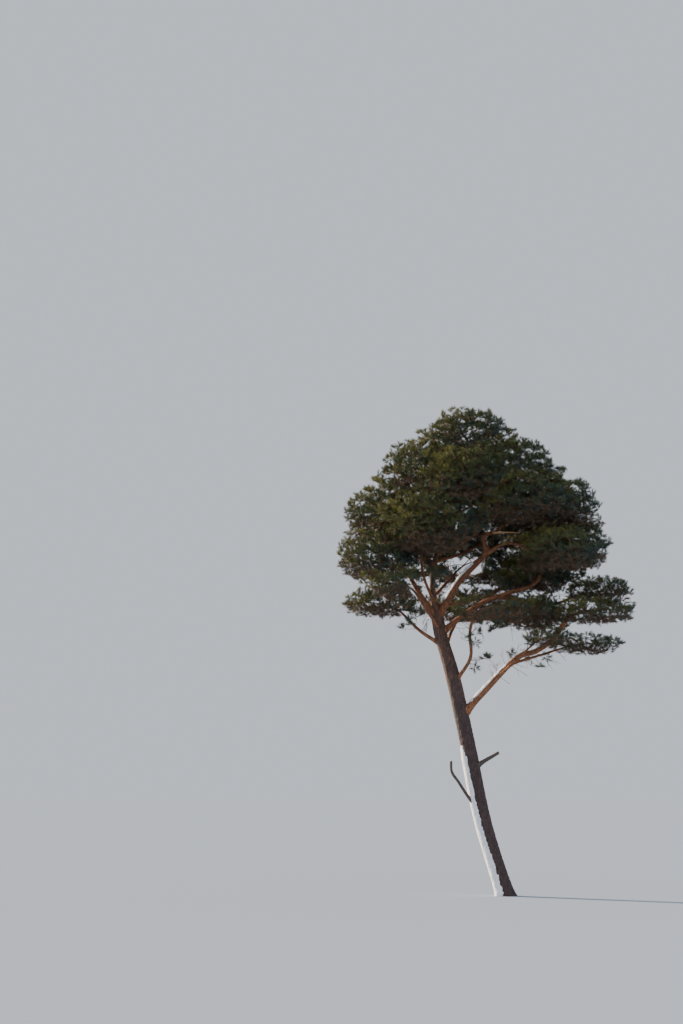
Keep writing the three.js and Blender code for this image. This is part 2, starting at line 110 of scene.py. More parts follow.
def evenly(fine, steps):
    """The same path with evenly spaced points."""
    run = np.concatenate([[0], np.cumsum(norm(np.diff(fine, axis=0), axis=1))])
    at = np.linspace(0, run[-1], steps + 1)
    return np.stack([np.interp(at, run, fine[:, k]) for k in range(3)], axis=1)


def at_share(path, share):
    """The point at a share of a path's length."""
    place = share * (len(path) - 1)
    low = min(int(place), len(path) - 2)
    return path[low] + (path[low + 1] - path[low]) * (place - low)


def mesh_of(bm, name):
    """A finished bmesh as a mesh."""
    mesh = bpy.data.meshes.new(name)
    bm.to_mesh(mesh)
    bm.free()
    return mesh


def edges_along(bm, axis):
    """The edges that run from one side of a unit shape to the other along an axis."""
    return [edge for edge in bm.edges if abs(edge.verts[0].co[axis] - edge.verts[1].co[axis]) > 0.5]


def blank_tube(name, columns, rows):
    """A straight closed tube of unit radius and height, and the angle and height of each of its vertices."""
    bm = bmesh.new()
    bmesh.ops.create_cone(bm, cap_ends=True, segments=columns, radius1=1, radius2=1, depth=1)
    bmesh.ops.translate(bm, vec=(0, 0, 0.5), verts=bm.verts)
    bmesh.ops.subdivide_edges(bm, edges=edges_along(bm, 2), cuts=rows - 1)
    mesh = mesh_of(bm, name)
    co = points_of(mesh)
    return mesh, np.arctan2(co[:, 1], co[:, 0]), co[:, 2]


def points_of(mesh):
    co = np.empty(len(mesh.vertices) * 3, np.float32)
    mesh.vertices.foreach_get("co", co)
    return co.reshape(-1, 3).astype(float)


def put_points(mesh, co):
    mesh.vertices.foreach_set("co", np.asarray(co, np.float32).ravel())
    mesh.polygons.foreach_set("use_smooth", np.ones(len(mesh.polygons), bool))
    mesh.update()


def plate_faces(co, width, height):
    """1 on the faces of bark plates of this size, and 0 in the cracks between them."""
    nearest = [noise.voronoi(point)[0] for point in co / (width, width, height)]
    gap = np.array([near[1] - near[0] for near in nearest])
    return np.clip(gap / CRACK_SHARE, 0, 1) ** 0.6


def rough_grain(co, size):
    """Fine uneven grain, about -1 to 1."""
    return np.array([noise.noise(point) for point in co / size])


trunk_path = smooth_path([(x, y, z) for z, x, y, _ in TRUNK_STATIONS], 400)


def bare_radius(height):
    heights = [station[0] for station in TRUNK_STATIONS]
    return np.interp(height, heights, [station[3] for station in TRUNK_STATIONS])


def bark_point(share, angle, proud=0.0):
    """Points on the bark at shares of the trunk's length, standing proud of it by so much."""
    place = share * (len(trunk_path) - 1)
    steps = np.arange(len(trunk_path))
    x, y, z = (np.interp(place, steps, trunk_path[:, k]) for k in range(3))
    lobes = 1 + FLARE_LOBE_DEPTH * np.cos(FLARE_LOBES * angle + FLARE_TURN)
    radius = bare_radius(z) + FLARE * lobes * np.exp(-z / FLARE_HEIGHT) + proud
    return np.stack([x + radius * np.cos(angle), y + radius * np.sin(angle), z], axis=1)


def bark_relief(co):
    """How far the bark stands out at points on the trunk: deep plates low down, thin flakes above."""
    high = np.clip((co[:, 2] - FLAKES_FROM) / (FLAKES_ALL - FLAKES_FROM), 0, 1)
    low_relief = (plate_faces(co, *PLATE_LOW) - PLATE_LEVEL) * PLATE_DEPTH_LOW
    high_relief = (plate_faces(co, *PLATE_HIGH) - PLATE_LEVEL) * PLATE_DEPTH_HIGH
    return low_relief * (1 - high) + high_relief * high + rough_grain(co, GRAIN_SIZE) * GRAIN_DEPTH


trunk_mesh, trunk_angle, trunk_share = blank_tube("trunk_bark", TRUNK_COLUMNS, TRUNK_ROWS)
smooth_bark = bark_point(trunk_share, trunk_angle)
put_points(trunk_mesh, bark_point(trunk_share, trunk_angle, bark_relief(smooth_bark)))


def add_node(tree, kind, inputs, **settings):
    """A node of a material, each of its inputs a plain value or the output of another node."""
    node = tree.nodes.new("ShaderNode" + kind)
    for name, value in settings.items():
        setattr(node, name, value)
    for name, value in inputs.items():
        if isinstance(value, bpy.types.NodeSocket):
            tree.links.new(value, node.inputs[name])
        else:
            node.inputs[name].default_value = value
    return node


def calculated(tree, kind, operation, *values):
    """The result of a sum, as Math or VectorMath, on plain values or the outputs of nodes."""
    return add_node(tree, kind, dict(enumerate(values)), operation=operation).outputs[0]


def uneven(tree, place, scale, detail=2, roughness=0.5, output="Fac"):
    """A noise that varies from place to place."""
    inputs = {"Vector": place, "Scale": scale, "Detail": detail, "Roughness": roughness}
    return add_node(tree, "TexNoise", inputs).outputs[output]


def ramped(tree, value, low, high, start=0, end=1):
    """The start where a value is low or less, the end where it is high or more."""
    inputs = {"Value": value, "From Min": low, "From Max": high, "To Min": start, "To Max": end}
    return add_node(tree, "MapRange", inputs).outputs["Result"]


def plate_group():
    """Bark plates as a pattern: the cracks, a tone for each plate and the grain across it."""
    group = bpy.data.node_groups.new("bark_plates", "ShaderNodeTree")
    for name, kind in (("Coordinates", "Vector"), ("Plate Size", "Float"), ("Stretch", "Float")):
        group.interface.new_socket(name=name, in_out="INPUT", socket_type="NodeSocket" + kind)
    for name in ("Crack", "Plate Tone", "Grain", "Relief"):
        group.interface.new_socket(name=name, in_out="OUTPUT", socket_type="NodeSocketFloat")
    given = group.nodes.new("NodeGroupInput").outputs
    taken = group.nodes.new("NodeGroupOutput").inputs
    width = given["Plate Size"]
    height = calculated(group, "Math", "MULTIPLY", width, given["Stretch"])
    size = add_node(group, "CombineXYZ", {"X": width, "Y": width, "Z": height}).outputs[0]
    scaled = calculated(group, "VectorMath", "DIVIDE", given["Coordinates"], size)
    ragged = uneven(group, scaled, 1.5, 6, 0.62, "Color")
    bent = calculated(group, "VectorMath", "MULTIPLY_ADD", ragged, (1.5, 1.5, 1.5), scaled)
    edge = add_node(group, "TexVoronoi", {"Vector": bent, "Scale": 1}, feature="DISTANCE_TO_EDGE")
    cell = add_node(group, "TexVoronoi", {"Vector": bent, "Scale": 1})
    tone = add_node(group, "SeparateXYZ", {0: cell.outputs["Color"]})
    grain = uneven(group, scaled, 5, 6, 0.65)
    frayed = calculated(group, "Math", "MULTIPLY_ADD", grain, 0.5, edge.outputs["Distance"])
    gap = ramped(group, frayed, 0.24, 0.42, 1, 0)
    unhealed = ramped(group, uneven(group, scaled, 0.8), 0.36, 0.56)
    crack = calculated(group, "Math", "MULTIPLY", gap, unhealed)
    relief = calculated(group, "Math", "SUBTRACT", grain, crack)
    results = {"Crack": crack, "Plate Tone": tone.outputs["X"], "Grain": grain, "Relief": relief}
    for name, value in results.items():
        group.links.new(value, taken[name])
    return group


BARK_PLATES = plate_group()
LEVEL_DRIFT = 1.3
WORN_BRIGHTNESS = 1.25
WORN_SHARE = 0.3


def fresh_material(name):
    """A new material with its tree of nodes, its shader and the place of each point of the piece."""
    material = bpy.data.materials.new(name)
    material.use_nodes = True
    tree = material.node_tree
    return material, tree, tree.nodes["Principled BSDF"], add_node(tree, "TexCoord", {}).outputs["Object"]


def mixed(tree, factor, first, second):
    """A mix of two colours, each of them plain or the output of a node."""
    inputs = {"Factor": factor}
    for name, colour in (("A", first), ("B", second)):
        inputs[name] = (*colour, 1) if isinstance(colour, tuple) else colour
    return add_node(tree, "Mix", inputs, data_type="RGBA").outputs["Result"]


def surfaced(tree, shader, colour, roughness, relief=None, strength=0, depth=0):
    """Gives a shader its colour and roughness, and a relief of this depth."""
    tree.links.new(colour, shader.inputs["Base Color"])
    tree.links.new(roughness, shader.inputs["Roughness"])
    if relief is not None:
        bump = add_node(tree, "Bump", {"Height": relief, "Strength": strength, "Distance": depth})
        tree.links.new(bump.outputs["Normal"], shader.inputs["Normal"])


def bark_material(name, plate, stretch, low, high, crack_colour, levels):
    """Bark whose colours, dark and light, go over from the low pair to the high pair between two heights."""
    material, tree, shader, place = fresh_material(name)
    inputs = {"Coordinates": place, "Plate Size": plate, "Stretch": stretch}
    plates = add_node(tree, "Group", inputs, node_tree=BARK_PLATES).outputs
    height = add_node(tree, "SeparateXYZ", {0: place}).outputs["Z"]
    patchy = uneven(tree, place, 1.6, 3)
    drifting = calculated(tree, "Math", "MULTIPLY_ADD", patchy, 2 * LEVEL_DRIFT, height)
    rise = ramped(tree, drifting, levels[0] + LEVEL_DRIFT, levels[1] + LEVEL_DRIFT)
    tone = plates["Plate Tone"]
    bark = mixed(tree, rise, mixed(tree, tone, *low), mixed(tree, tone, *high))
    paler = tuple(0.5 * (a + b) * WORN_BRIGHTNESS for a, b in zip(low[1], high[1]))
    worn = mixed(tree, ramped(tree, plates["Grain"], 0.35, 0.75), bark, paler)
    colour = mixed(tree, plates["Crack"], mixed(tree, WORN_SHARE, bark, worn), crack_colour)
    roughness = ramped(tree, plates["Grain"], 0, 1, 0.78, 0.97)
    surfaced(tree, shader, colour, roughness, plates["Relief"], 0.8, plate * 0.12)
    return material


def in_scene(name, data):
    """A new object of this name in the scene."""
    made = bpy.data.objects.new(name, data)
    bpy.context.scene.collection.objects.link(made)
    return made


def finished(mesh, nodes, materials):
    """Makes a piece of the tree from its finished mesh, standing for these nodes of the frame."""
    for material in materials:
        mesh.materials.append(material)
    piece = in_scene(mesh.name, mesh)
    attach(piece, "root")
    if nodes:
        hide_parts(*nodes)


trunk_bark = bark_material(
    "trunk_bark", 0.05, 3.2,
    low=((0.042, 0.028, 0.031), (0.072, 0.046, 0.048)),
    high=((0.09, 0.047, 0.03), (0.19, 0.096, 0.052)),
    crack_colour=(0.034, 0.025, 0.025), levels=(5.2, 8.6),
)
finished(trunk_mesh, ["trunk"], [trunk_bark])


# Snow on the trunk. Wind-blown snow is plastered into the bark all up the left side of the stem,
# thickest in the middle of the strip, and it breaks up into patches along both edges and at its top.
SNOW_FROM, SNOW_TO = math.radians(100), math.radians(268)
SNOW_NARROWING = math.radians(26)
SNOW_TOP_SHARE = 0.345
SNOW_ACROSS = 40
SNOW_ALONG = 260
SNOW_DEPTH = 0.042
SNOW_BURIED = 0.03
SNOW_FADE = 0.12
SNOW_EDGE = 0.34
SNOW_PATCHES = 0.15
SNOW_SWELL = 1.5
SNOW_SKIN = 0.003


def snow_material():
    material, tree, shader, place = fresh_material("blown_snow")
    drift = uneven(tree, place, 7, 5)
    colour = mixed(tree, ramped(tree, drift, 0.35, 0.65), (0.74, 0.78, 0.86), (0.87, 0.88, 0.9))
    crystals = uneven(tree, place, 90, 3)
    surfaced(tree, shader, colour, ramped(tree, drift, -0.6, 1.2), crystals, 0.5, 0.006)
    return material


BLOWN_SNOW = snow_material()


def snow_sheet(name, across, along):
    """A closed slab of this many faces, and where each vertex lies across, along and through it."""
    bm = bmesh.new()
    bmesh.ops.create_cube(bm, size=1)
    bmesh.ops.subdivide_edges(bm, edges=edges_along(bm, 1), cuts=along - 1, use_grid_fill=True)
    bmesh.ops.subdivide_edges(bm, edges=edges_along(bm, 0), cuts=across - 1, use_grid_fill=True)
    mesh = mesh_of(bm, name)
    co = points_of(mesh) + 0.5
    return mesh, co[:, 0], co[:, 1], co[:, 2] > 0.5


snow_mesh, across, along, outside = snow_sheet("snow_on_trunk_drift", SNOW_ACROSS, SNOW_ALONG)
snow_angle = SNOW_TO + (SNOW_FROM - SNOW_TO) * across + SNOW_NARROWING * along * (2 * across - 1)
snow_share = along * SNOW_TOP_SHARE
bark_under = bark_point(snow_share, snow_angle)
middle = np.sin(across * math.pi)
fade = np.clip((1 - along) / SNOW_FADE, 0, 1)
lumps = rough_grain(bark_under * (1, 1, 0.3), 0.07) + 0.7 * rough_grain(bark_under * (1, 1, 0.6), 0.028)
cover = middle ** 0.8 - SNOW_EDGE + SNOW_PATCHES * lumps - (1 - fade)
depth = np.clip(cover * SNOW_DEPTH * SNOW_SWELL, -0.02, SNOW_DEPTH) + SNOW_SKIN
proud = np.where(outside, depth, -SNOW_BURIED)
put_points(snow_mesh, bark_point(snow_share, snow_angle, proud))
finished(snow_mesh, ["snow_on_trunk"], [BLOWN_SNOW])


# Boughs. Each is one tapering limb that swells where it leaves the trunk or its parent, kinks a little
# on its way and ends inside its mass of needles. Their bark is thin, orange and flaking.
def limb_of(name, root, girth, end, *through):
    """A limb: where it is rooted, as a height on the trunk or a share of another limb, its radius there and
    at its tip, the mass that it carries or the place of its tip, and the points on its way."""
    return {"name": name, "root": root, "girth": girth, "end": end, "through": through}


SHOWN_LIMBS = (
    limb_of("bough_low_right", ("trunk", 4.96), (0.102, 0.066), "plate_right",
            (-0.2, -0.06, 6.03), (0.49, -0.14, 6.64), (0.84, -0.19, 6.73), (1.33, -0.3, 7.05)),
    limb_of("bough_crooked", ("trunk", 5.86), (0.054, 0.04), "inner_plate",
            (-0.96, -0.33, 6.56), (-0.985, -0.56, 7.2)),
    limb_of("bough_long_right", ("trunk", 7.26), (0.084, 0.048), "right_mid",
            (-1.29, 0.09, 7.64), (-0.64, 0.08, 8.09), (0.06, 0.03, 8.37), (0.83, 0.01, 8.62),
            (1.06, 0.02, 8.93)),
    limb_of("fork_right", ("trunk", 7.7), (0.096, 0.08), (-0.4, -0.22, 9.56),
            (-1.23, -0.08, 8.74), (-0.78, -0.16, 9.19)),
    limb_of("fork_left", ("trunk", 7.64), (0.088, 0.046), "left_mid",
            (-2.41, -0.06, 8.46), (-2.78, -0.16, 9.04)),
    limb_of("bough_pale", ("trunk", 8.12), (0.046, 0.03), "front_left_high",
            (-2.23, -0.32, 8.76), (-2.33, -0.7, 9.3)),
    limb_of("fork_right_crook", ("fork_right", 0.96), (0.066, 0.04), "right_shoulder",
            (-0.545, -0.19, 9.98), (-0.23, -0.15, 10.11), (0.01, -0.11, 10.3)),
    limb_of("fork_right_side", ("fork_right", 0.97), (0.054, 0.034), "front_right",
            (0.06, -0.42, 9.75), (0.42, -0.64, 9.66)),
    limb_of("bough_plate_mid", ("bough_long_right", 0.16), (0.042, 0.028), "plate_mid", (-0.65, -0.12, 7.62)),
    limb_of("bough_back_right_low", ("bough_long_right", 0.21), (0.046, 0.03), "back_right_low",
            (-0.35, 0.85, 7.8)),
    limb_of("bough_inner_right", ("bough_long_right", 0.3), (0.046, 0.03), "right_inner",
            (-0.15, 0.33, 8.48)),
    limb_of("bough_outer_right", ("bough_long_right", 0.52), (0.052, 0.034), "plate_right_upper",
            (0.9, 0.16, 8.17), (1.5, 0.24, 8.12)),
    limb_of("bough_under_right", ("bough_low_right", 0.5), (0.044, 0.03), "plate_right_low",
            (1.15, 0.12, 6.69)),
    limb_of("bough_under_front", ("bough_low_right", 0.34), (0.038, 0.026), "plate_right_inner"),
)
# Centre and half sizes of the space that each mass of needles keeps to, and the height on the trunk and
# root radius of its bough where that isn't among the limbs above
MASSES = (
    ("crown_top", (-1, 0, 12.9), (1.15, 1.15, 0.93), None),
    ("upper_right", (0.2, -0.3, 11.95), (1.25, 1.15, 0.9), (10.95, 0.046)),
    ("upper_left", (-2.25, -0.25, 11.85), (1.2, 1.15, 0.9), (10.8, 0.046)),
    ("upper_back", (-0.85, 1.35, 11.8), (1.25, 1.1, 0.9), (10.7, 0.046)),
    ("upper_front", (-1.1, -1.5, 11.5), (1.25, 1.05, 0.83), (10.3, 0.046)),
    ("right_shoulder", (1.55, 0.1, 10.9), (1.23, 1.25, 0.86), None),
    ("front_right_high", (0.45, -1.4, 10.9), (1.25, 1.05, 0.74), (9.5, 0.048)),
    ("back_right_high", (0.65, 1.55, 10.55), (1.3, 1.15, 0.88), (9.3, 0.054)),
    ("left_shoulder", (-3.25, 0.1, 10.65), (1.23, 1.3, 0.88), (9.15, 0.054)),
    ("front_left_high", (-2.05, -1.6, 10.15), (1.38, 1.05, 0.92), None),
    ("back_left_high", (-2.3, 1.65, 10.35), (1.3, 1.15, 0.84), (8.95, 0.052)),
    ("right_mid", (1.95, 0.1, 9.7), (1.12, 1.1, 0.72), None),
    ("front_right", (1.5, -1.4, 9.45), (1.08, 0.9, 0.64), None),
    ("left_mid", (-3.7, -0.35, 9.35), (1.13, 1.15, 0.7), None),
    ("back_centre", (-0.85, 2.25, 9.5), (1.3, 1.05, 0.76), (8.3, 0.058)),
    ("back_right", (1.4, 1.8, 9.3), (1.2, 1, 0.7), (8, 0.06)),
    ("right_inner", (0.88, 0.52, 8.86), (1.06, 0.86, 0.43), None),
    ("plate_right_upper", (2.75, 0.45, 8.5), (1.12, 1, 0.42), None),
    ("plate_right", (2.45, -0.5, 7.85), (1.43, 0.95, 0.4), None),
    ("plate_right_low", (2.35, 0.42, 7), (1.14, 0.88, 0.33), None),
    ("plate_right_inner", (1.15, -0.85, 7.1), (0.76, 0.62, 0.29), None),
    ("plate_mid", (0.65, -0.35, 7.9), (0.95, 0.8, 0.38), None),
    ("inner_plate", (-0.6, -0.95, 7.9), (1.05, 0.75, 0.4), None),
    ("left_low", (-3.5, 0.55, 8.15), (1.08, 1.02, 0.44), (6.9, 0.062)),
    ("back_low", (-0.9, 1.85, 8.1), (1.18, 0.95, 0.43), (6.8, 0.062)),
    ("front_left_low", (-2.9, -1.35, 8.55), (1.03, 0.93, 0.45), (7.38, 0.054)),
    ("back_right_low", (1.15, 1.8, 7.8), (1.08, 0.88, 0.41), None),
)
UP = np.array((0.0, 0.0, 1.0))
BOX_LOW = np.array(cad_box[0])
BOX_HIGH = np.array(cad_box[1])
TAPER_POWER = 0.8
TIP_DEPTH_IN_SPACE = 0.74
TIP_LEVELLING = 0.35
TIP_DROP = 0.3
HIDDEN_SAG = 0.06
HIDDEN_SWAY = 0.14
HIDDEN_TAPER = 0.55
THINNEST_TIP = 0.026
LIMB_COLUMNS = 20
LIMB_ROW_HEIGHT = 0.034
COLLAR_GROWTH = 0.5
COLLAR_LENGTH = 1.4
PARENT_GIRTH = 1.6
KINK = 0.22
KINK_EVERY = 0.55
KINK_SEED = 1
FLAKE = (0.045, 0.1)
FLAKE_DEPTH = 0.006
SPACES = {name: (np.array(centre, float), np.array(half, float)) for name, centre, half, _ in MASSES}


def seeded(seed):
    """Park and Miller's generator: the same seed always grows the same tree."""
    state = seed
    while True:
        state = state * 16807 % 2147483647
        yield state / 2147483647


def unit(vector):
    return vector / norm(vector)


def unit_rows(vectors):
    return vectors / norm(vectors, axis=-1, keepdims=True)


def trunk_axis_at(height):
    return np.array([np.interp(height, trunk_path[:, 2], trunk_path[:, k]) for k in range(3)])


def tip_in_space(name, start):
    """Where a bough ends: just inside the near edge of its mass's space."""
    centre, half = SPACES[name]
    step = (start - centre) / half
    step[2] *= TIP_LEVELLING
    step *= TIP_DEPTH_IN_SPACE / norm(step)
    step[2] -= TIP_DROP
    return centre + step * half


def hidden_limb(name, height, girth):
    """A bough inside the crown: it leaves the trunk, sags a little and rises to its needles."""
    start = trunk_axis_at(height)
    tip = tip_in_space(name, start)
    span = norm(tip - start)
    aside = unit(np.cross(tip - start, UP))
    sway = next(seeded(round(height * 1000))) - 0.5
    middle = (start + tip) / 2 + aside * HIDDEN_SWAY * span * sway - UP * HIDDEN_SAG * span
    tip_radius = max(THINNEST_TIP, girth * HIDDEN_TAPER)
    return limb_of("bough_" + name, ("trunk", height), (girth, tip_radius), name, middle)


HIDDEN_LIMBS = tuple(hidden_limb(name, *bough) for name, _, _, bough in MASSES if bough)
LIVE_LIMBS = SHOWN_LIMBS + HIDDEN_LIMBS
paths = {}


def grow_path(limb):
    """Lays the line that a limb follows, from its parent or from the trunk."""
    parent, place = limb["root"]
    start = trunk_axis_at(place) if parent == "trunk" else at_share(paths[parent], place)
    last = np.array((start, *limb["through"]), float)[-1]
    tip = tip_in_space(limb["end"], last) if isinstance(limb["end"], str) else limb["end"]
    paths[limb["name"]] = smooth_path([start, *limb["through"], tip])


def limb_radius(limb, share):
    root, tip = limb["girth"]
    return root + (tip - root) * share ** TAPER_POWER


def length_of(path):
    return norm(np.diff(path, axis=0), axis=1).sum()


def carried_frames(path):
    """Directions along, across and up from each point of a path, turning as little as they can."""
    along = unit_rows(np.gradient(path, axis=0))
    across = [unit(np.cross(along[0], UP if abs(along[0][2]) < 0.95 else (1.0, 0, 0)))]
    for heading in along[1:]:
        across.append(unit(across[-1] - heading * (across[-1] @ heading)))
    across = np.array(across)
    return along, across, np.cross(along, across)


def around(across, above, turn):
    """Directions at these angles round a line, from two that are square to it."""
    return np.cos(turn)[..., None] * across + np.sin(turn)[..., None] * above


def limb_mesh(limb, flake_depth, splinter=0.0):
    """One limb with its collar, kinks and relief. Its tip is round, or splintered by so much."""
    path = paths[limb["name"]]
    length = length_of(path)
    rows = max(8, round(length / LIMB_ROW_HEIGHT))
    mesh, angle, share = blank_tube(limb["name"], LIMB_COLUMNS, rows)
    path = evenly(path, rows)
    shares = np.linspace(0, 1, rows + 1)
    radius = limb_radius(limb, shares)
    drift = np.array([noise.noise_vector(point) for point in path / KINK_EVERY]) * (radius * KINK)[:, None]
    path = path + drift * np.sin(shares * math.pi)[:, None] ** 0.5
    along, across, above = carried_frames(path)
    root = limb["girth"][0]
    parent = bare_radius(path[0][2]) if limb["root"][0] == "trunk" else root * PARENT_GIRTH
    gone = np.maximum(shares * length - parent, 0)
    radius *= 1 + COLLAR_GROWTH * np.exp(-gone / (COLLAR_LENGTH * root))
    ring = np.round(share * rows).astype(int)
    out = around(across[ring], above[ring], angle)
    bare = path[ring] + out * radius[ring][:, None]
    relief = (plate_faces(bare, *FLAKE) - PLATE_LEVEL) * flake_depth + rough_grain(bare, 0.05) * 0.0025
    co = bare + out * relief[:, None]
    if splinter:
        ragged = rough_grain(bare, SPLINTER_WIDTH)
        reach = np.clip((shares[ring] - 1) * length / splinter + 1, 0, 1)
        co += along[ring] * (reach * splinter * ragged)[:, None]
    put_points(mesh, co)
    return mesh


def gathered(name, meshes):
    """Several meshes as one, with all its faces outwards."""
    bm = bmesh.new()
    for mesh in meshes:
        bm.from_mesh(mesh)
        bpy.data.meshes.remove(mesh)
    bmesh.ops.recalc_face_normals(bm, faces=bm.faces)
    return mesh_of(bm, name)


# noise_vector starts from the clock unless it is seeded, and the limbs would kink otherwise each run
noise.seed_set(KINK_SEED)
for limb in LIVE_LIMBS:
    grow_path(limb)

bough_bark = bark_material(
    "bough_bark", 0.045, 2.2,
    low=((0.18, 0.075, 0.036), (0.33, 0.143, 0.062)),
    high=((0.16, 0.063, 0.03), (0.29, 0.12, 0.053)),
    crack_colour=(0.075, 0.036, 0.022), levels=(5, 9),
)
for name, limbs in (("boughs_in_view", SHOWN_LIMBS), ("boughs_in_crown", HIDDEN_LIMBS)):
    meshes = [limb_mesh(limb, FLAKE_DEPTH) for limb in limbs]
    finished(gathered(name, meshes), [limb["name"] for limb in limbs], [bough_bark])


# Dead wood. A bent grey snag and a stub on the bare trunk have lost their bark and ended in splinters,
# and one side limb of the fork broke off short, so that its fresh orange wood shows.
DEAD_LIMBS = (
    limb_of("snag_left", ("trunk", 2.13), (0.05, 0.037), (-1.51, -0.17, 3.69),
            (-1.04, -0.09, 2.72), (-1.32, -0.15, 3.14), (-1.49, -0.16, 3.4)),
    limb_of("stub_right", ("trunk", 3.48), (0.066, 0.044), (-0.19, -0.15, 3.925),
            (-0.64, -0.06, 3.66), (-0.33, -0.12, 3.84)),
)
BROKEN_LIMB = limb_of("broken_end", ("fork_right_crook", 0.4), (0.034, 0.014), (0.44, -0.33, 10.05),
                      (0.12, -0.26, 10.08))
DEAD_GROOVES = 0.004
SPLINTER = 0.05
SPLINTER_WIDTH = 0.012


def bare_wood_material(name, dark, light, streak):
    """Barkless wood, streaked along its grain."""
    material, tree, shader, place = fresh_material(name)
    inputs = {"Vector": place, "Rotation": (0, math.radians(35), 0), "Scale": (streak, streak, streak / 7)}
    fibre = uneven(tree, add_node(tree, "Mapping", inputs).outputs["Vector"], 1, 6, 0.7)
    colour = mixed(tree, ramped(tree, fibre, 0.35, 0.68), dark, light)
    surfaced(tree, shader, colour, ramped(tree, fibre, -1.4, 0.9), fibre, 0.7, 0.006)
    return material


for limb in DEAD_LIMBS + (BROKEN_LIMB,):
    grow_path(limb)
weathered = bare_wood_material("weathered_wood", (0.04, 0.03, 0.027), (0.12, 0.092, 0.08), 60)
dead_mesh = gathered("dead_snags", [limb_mesh(limb, DEAD_GROOVES, SPLINTER) for limb in DEAD_LIMBS])
finished(dead_mesh, [limb["name"] for limb in DEAD_LIMBS], [weathered])
fresh_wood = bare_wood_material("fresh_broken_wood", (0.4, 0.2, 0.08), (0.78, 0.5, 0.24), 70)
broken_mesh = gathered("broken_limb", [limb_mesh(BROKEN_LIMB, DEAD_GROOVES, SPLINTER)])
finished(broken_mesh, ["broken_end"], [fresh_wood])


# Snow on the boughs. A thin line of snow lies on the upper side of the low bough and of the fork's
# right limb, where they face the wind, and it tapers out at both ends.
SNOWY_STRETCHES = (("bough_low_right", 0.06, 0.5, 0.027), ("fork_right", 0.2, 0.78, 0.022))
LINE_HALF_ANGLE = math.radians(50)
LINE_ACROSS, LINE_ALONG = 10, 90
LINE_EDGE = 0.35
LINE_BURIED = 0.02
WINDWARD = np.array((-0.45, -0.12, 1.0))


def snow_line(limb, start, end, thickness):
    """A closed strip of snow that lies on a limb's upper, windward side between two shares of it."""
    mesh, across, along, outside = snow_sheet("snow_line_" + limb["name"], LINE_ACROSS, LINE_ALONG)
    path = paths[limb["name"]]
    headings = np.gradient(path, axis=0)
    share = start + (end - start) * along
    centre = np.array([at_share(path, s) for s in share])
    tangent = unit_rows(np.array([at_share(headings, s) for s in share]))
    up = unit_rows(WINDWARD - tangent * (tangent @ WINDWARD)[:, None])
    turn = (across * 2 - 1) * LINE_HALF_ANGLE
    out = around(up, np.cross(tangent, up), turn)
    lumps = rough_grain(centre, 0.13) + 0.5 * rough_grain(centre + out * 0.1, 0.05)
    ends = np.clip(np.sin(along * math.pi) * 4, 0, 1)
    cover = np.cos(turn) ** 3 + 0.8 * lumps - LINE_EDGE
    proud = np.clip(cover * ends, -0.2, 1) * thickness - 0.008 * (1 - ends)
    radius = limb_radius(limb, share) + np.where(outside, proud, -LINE_BURIED)
    put_points(mesh, centre + out * radius[:, None])
    return mesh


by_name = {limb["name"]: limb for limb in SHOWN_LIMBS}
lines = [snow_line(by_name[name], *rest) for name, *rest in SNOWY_STRETCHES]
finished(gathered("snow_on_boughs", lines), [], [BLOWN_SNOW])


# Twigs. A stem runs on from each bough into its mass, side twigs leave it by turns above and below, and
# finer ones branch from those to every part of the space, always from the nearest wood already grown.
FIRST_SEED = 4001
SEED_STEP = 97
SIDE_TWIGS = 5
GOLDEN_ANGLE = math.pi * (3 - math.sqrt(5))
STEM_REACH = 0.5
STEM_RISE = 0.1
STEM_STRAIGHT = 0.3
STEM_GIRTH = 0.9
TOP_STEM_LEAN = (0.3, -0.2, 1)
SIDE_GIRTH = 0.7
SIDE_TURN = 0.8
SIDE_ROOT = (0.2, 0.5, 0.84)
SIDE_ROOT_SPREAD = 0.36
SIDE_DROP = -0.7
SIDE_LEVEL_SPREAD = 0.2
SIDE_REACH = 0.56
SIDE_LEVEL = 0.36
TWIG_TIP_RADIUS = 0.009
TWIG_CLEARANCE = 0.014
WOOD_SAMPLES = 60
WOOD_SEARCH = 0.5
# The finer twigs: how far apart their ends stand, and the part of the space that they fill
END_SPACING = 0.25
END_TRIES = 12000
END_NEAREST = 0.3
END_FURTHEST = 1.5
END_FURTHEST_OPEN = 0.9
END_LIMIT = 0.9
END_INSIDE_BOX = 0.1
END_LOWEST = -0.8
FINE_RADIUS, FINE_TIP_RADIUS = 0.006, 0.004
FINE_GIRTH_PER_METRE = 0.009
SHOOT_RADIUS = 0.004
BARE_TWIGS = 80
BARE_LENGTH = (0.22, 0.6)
# How far the ends stand in knobs, and how far all masses but the open plates reach into the hollows
# between them
KNOB_SIZE = 0.42
KNOB_DEPTH = 0.16
SPRAY_LIMIT = 1.04
SPRAY_OVERLAP = 0.1
OPEN_PLATES = [i for i, (name, *_) in enumerate(MASSES) if name.startswith("plate_right")]
BETWEEN_REACH = 1.28
CORE_BETWEEN = 1.6
CORE_CENTRE = np.array((-0.75, 0.4, 8.7))
CORE_HALF = np.array((2.4, 2.4, 2.2))
# The one window through the crown, over the fork: its centre on the trunk's plane and its half sizes
WINDOW_CENTRE = np.array((-1.05, 9.18))
WINDOW_HALF = np.array((0.58, 0.27))
# The stretches of limb that nothing hides, how much room they have, and how the lines of sight drift
CLEAR_STRETCHES = {"bough_long_right": (0.3, 0.85), "fork_right": (0.06, 1), "fork_left": (0.05, 0.7),
                   "bough_pale": (0.1, 0.6), "fork_right_crook": (0, 0.5)}
CLEAR_ROOM = 0.09
SIGHT_DRIFT = np.array((0.06, 0.103))


def growth_of(name):
    """The limb that carries a mass, or None where the trunk itself runs up into it."""
    return next((limb for limb in LIVE_LIMBS if limb["end"] == name), None)


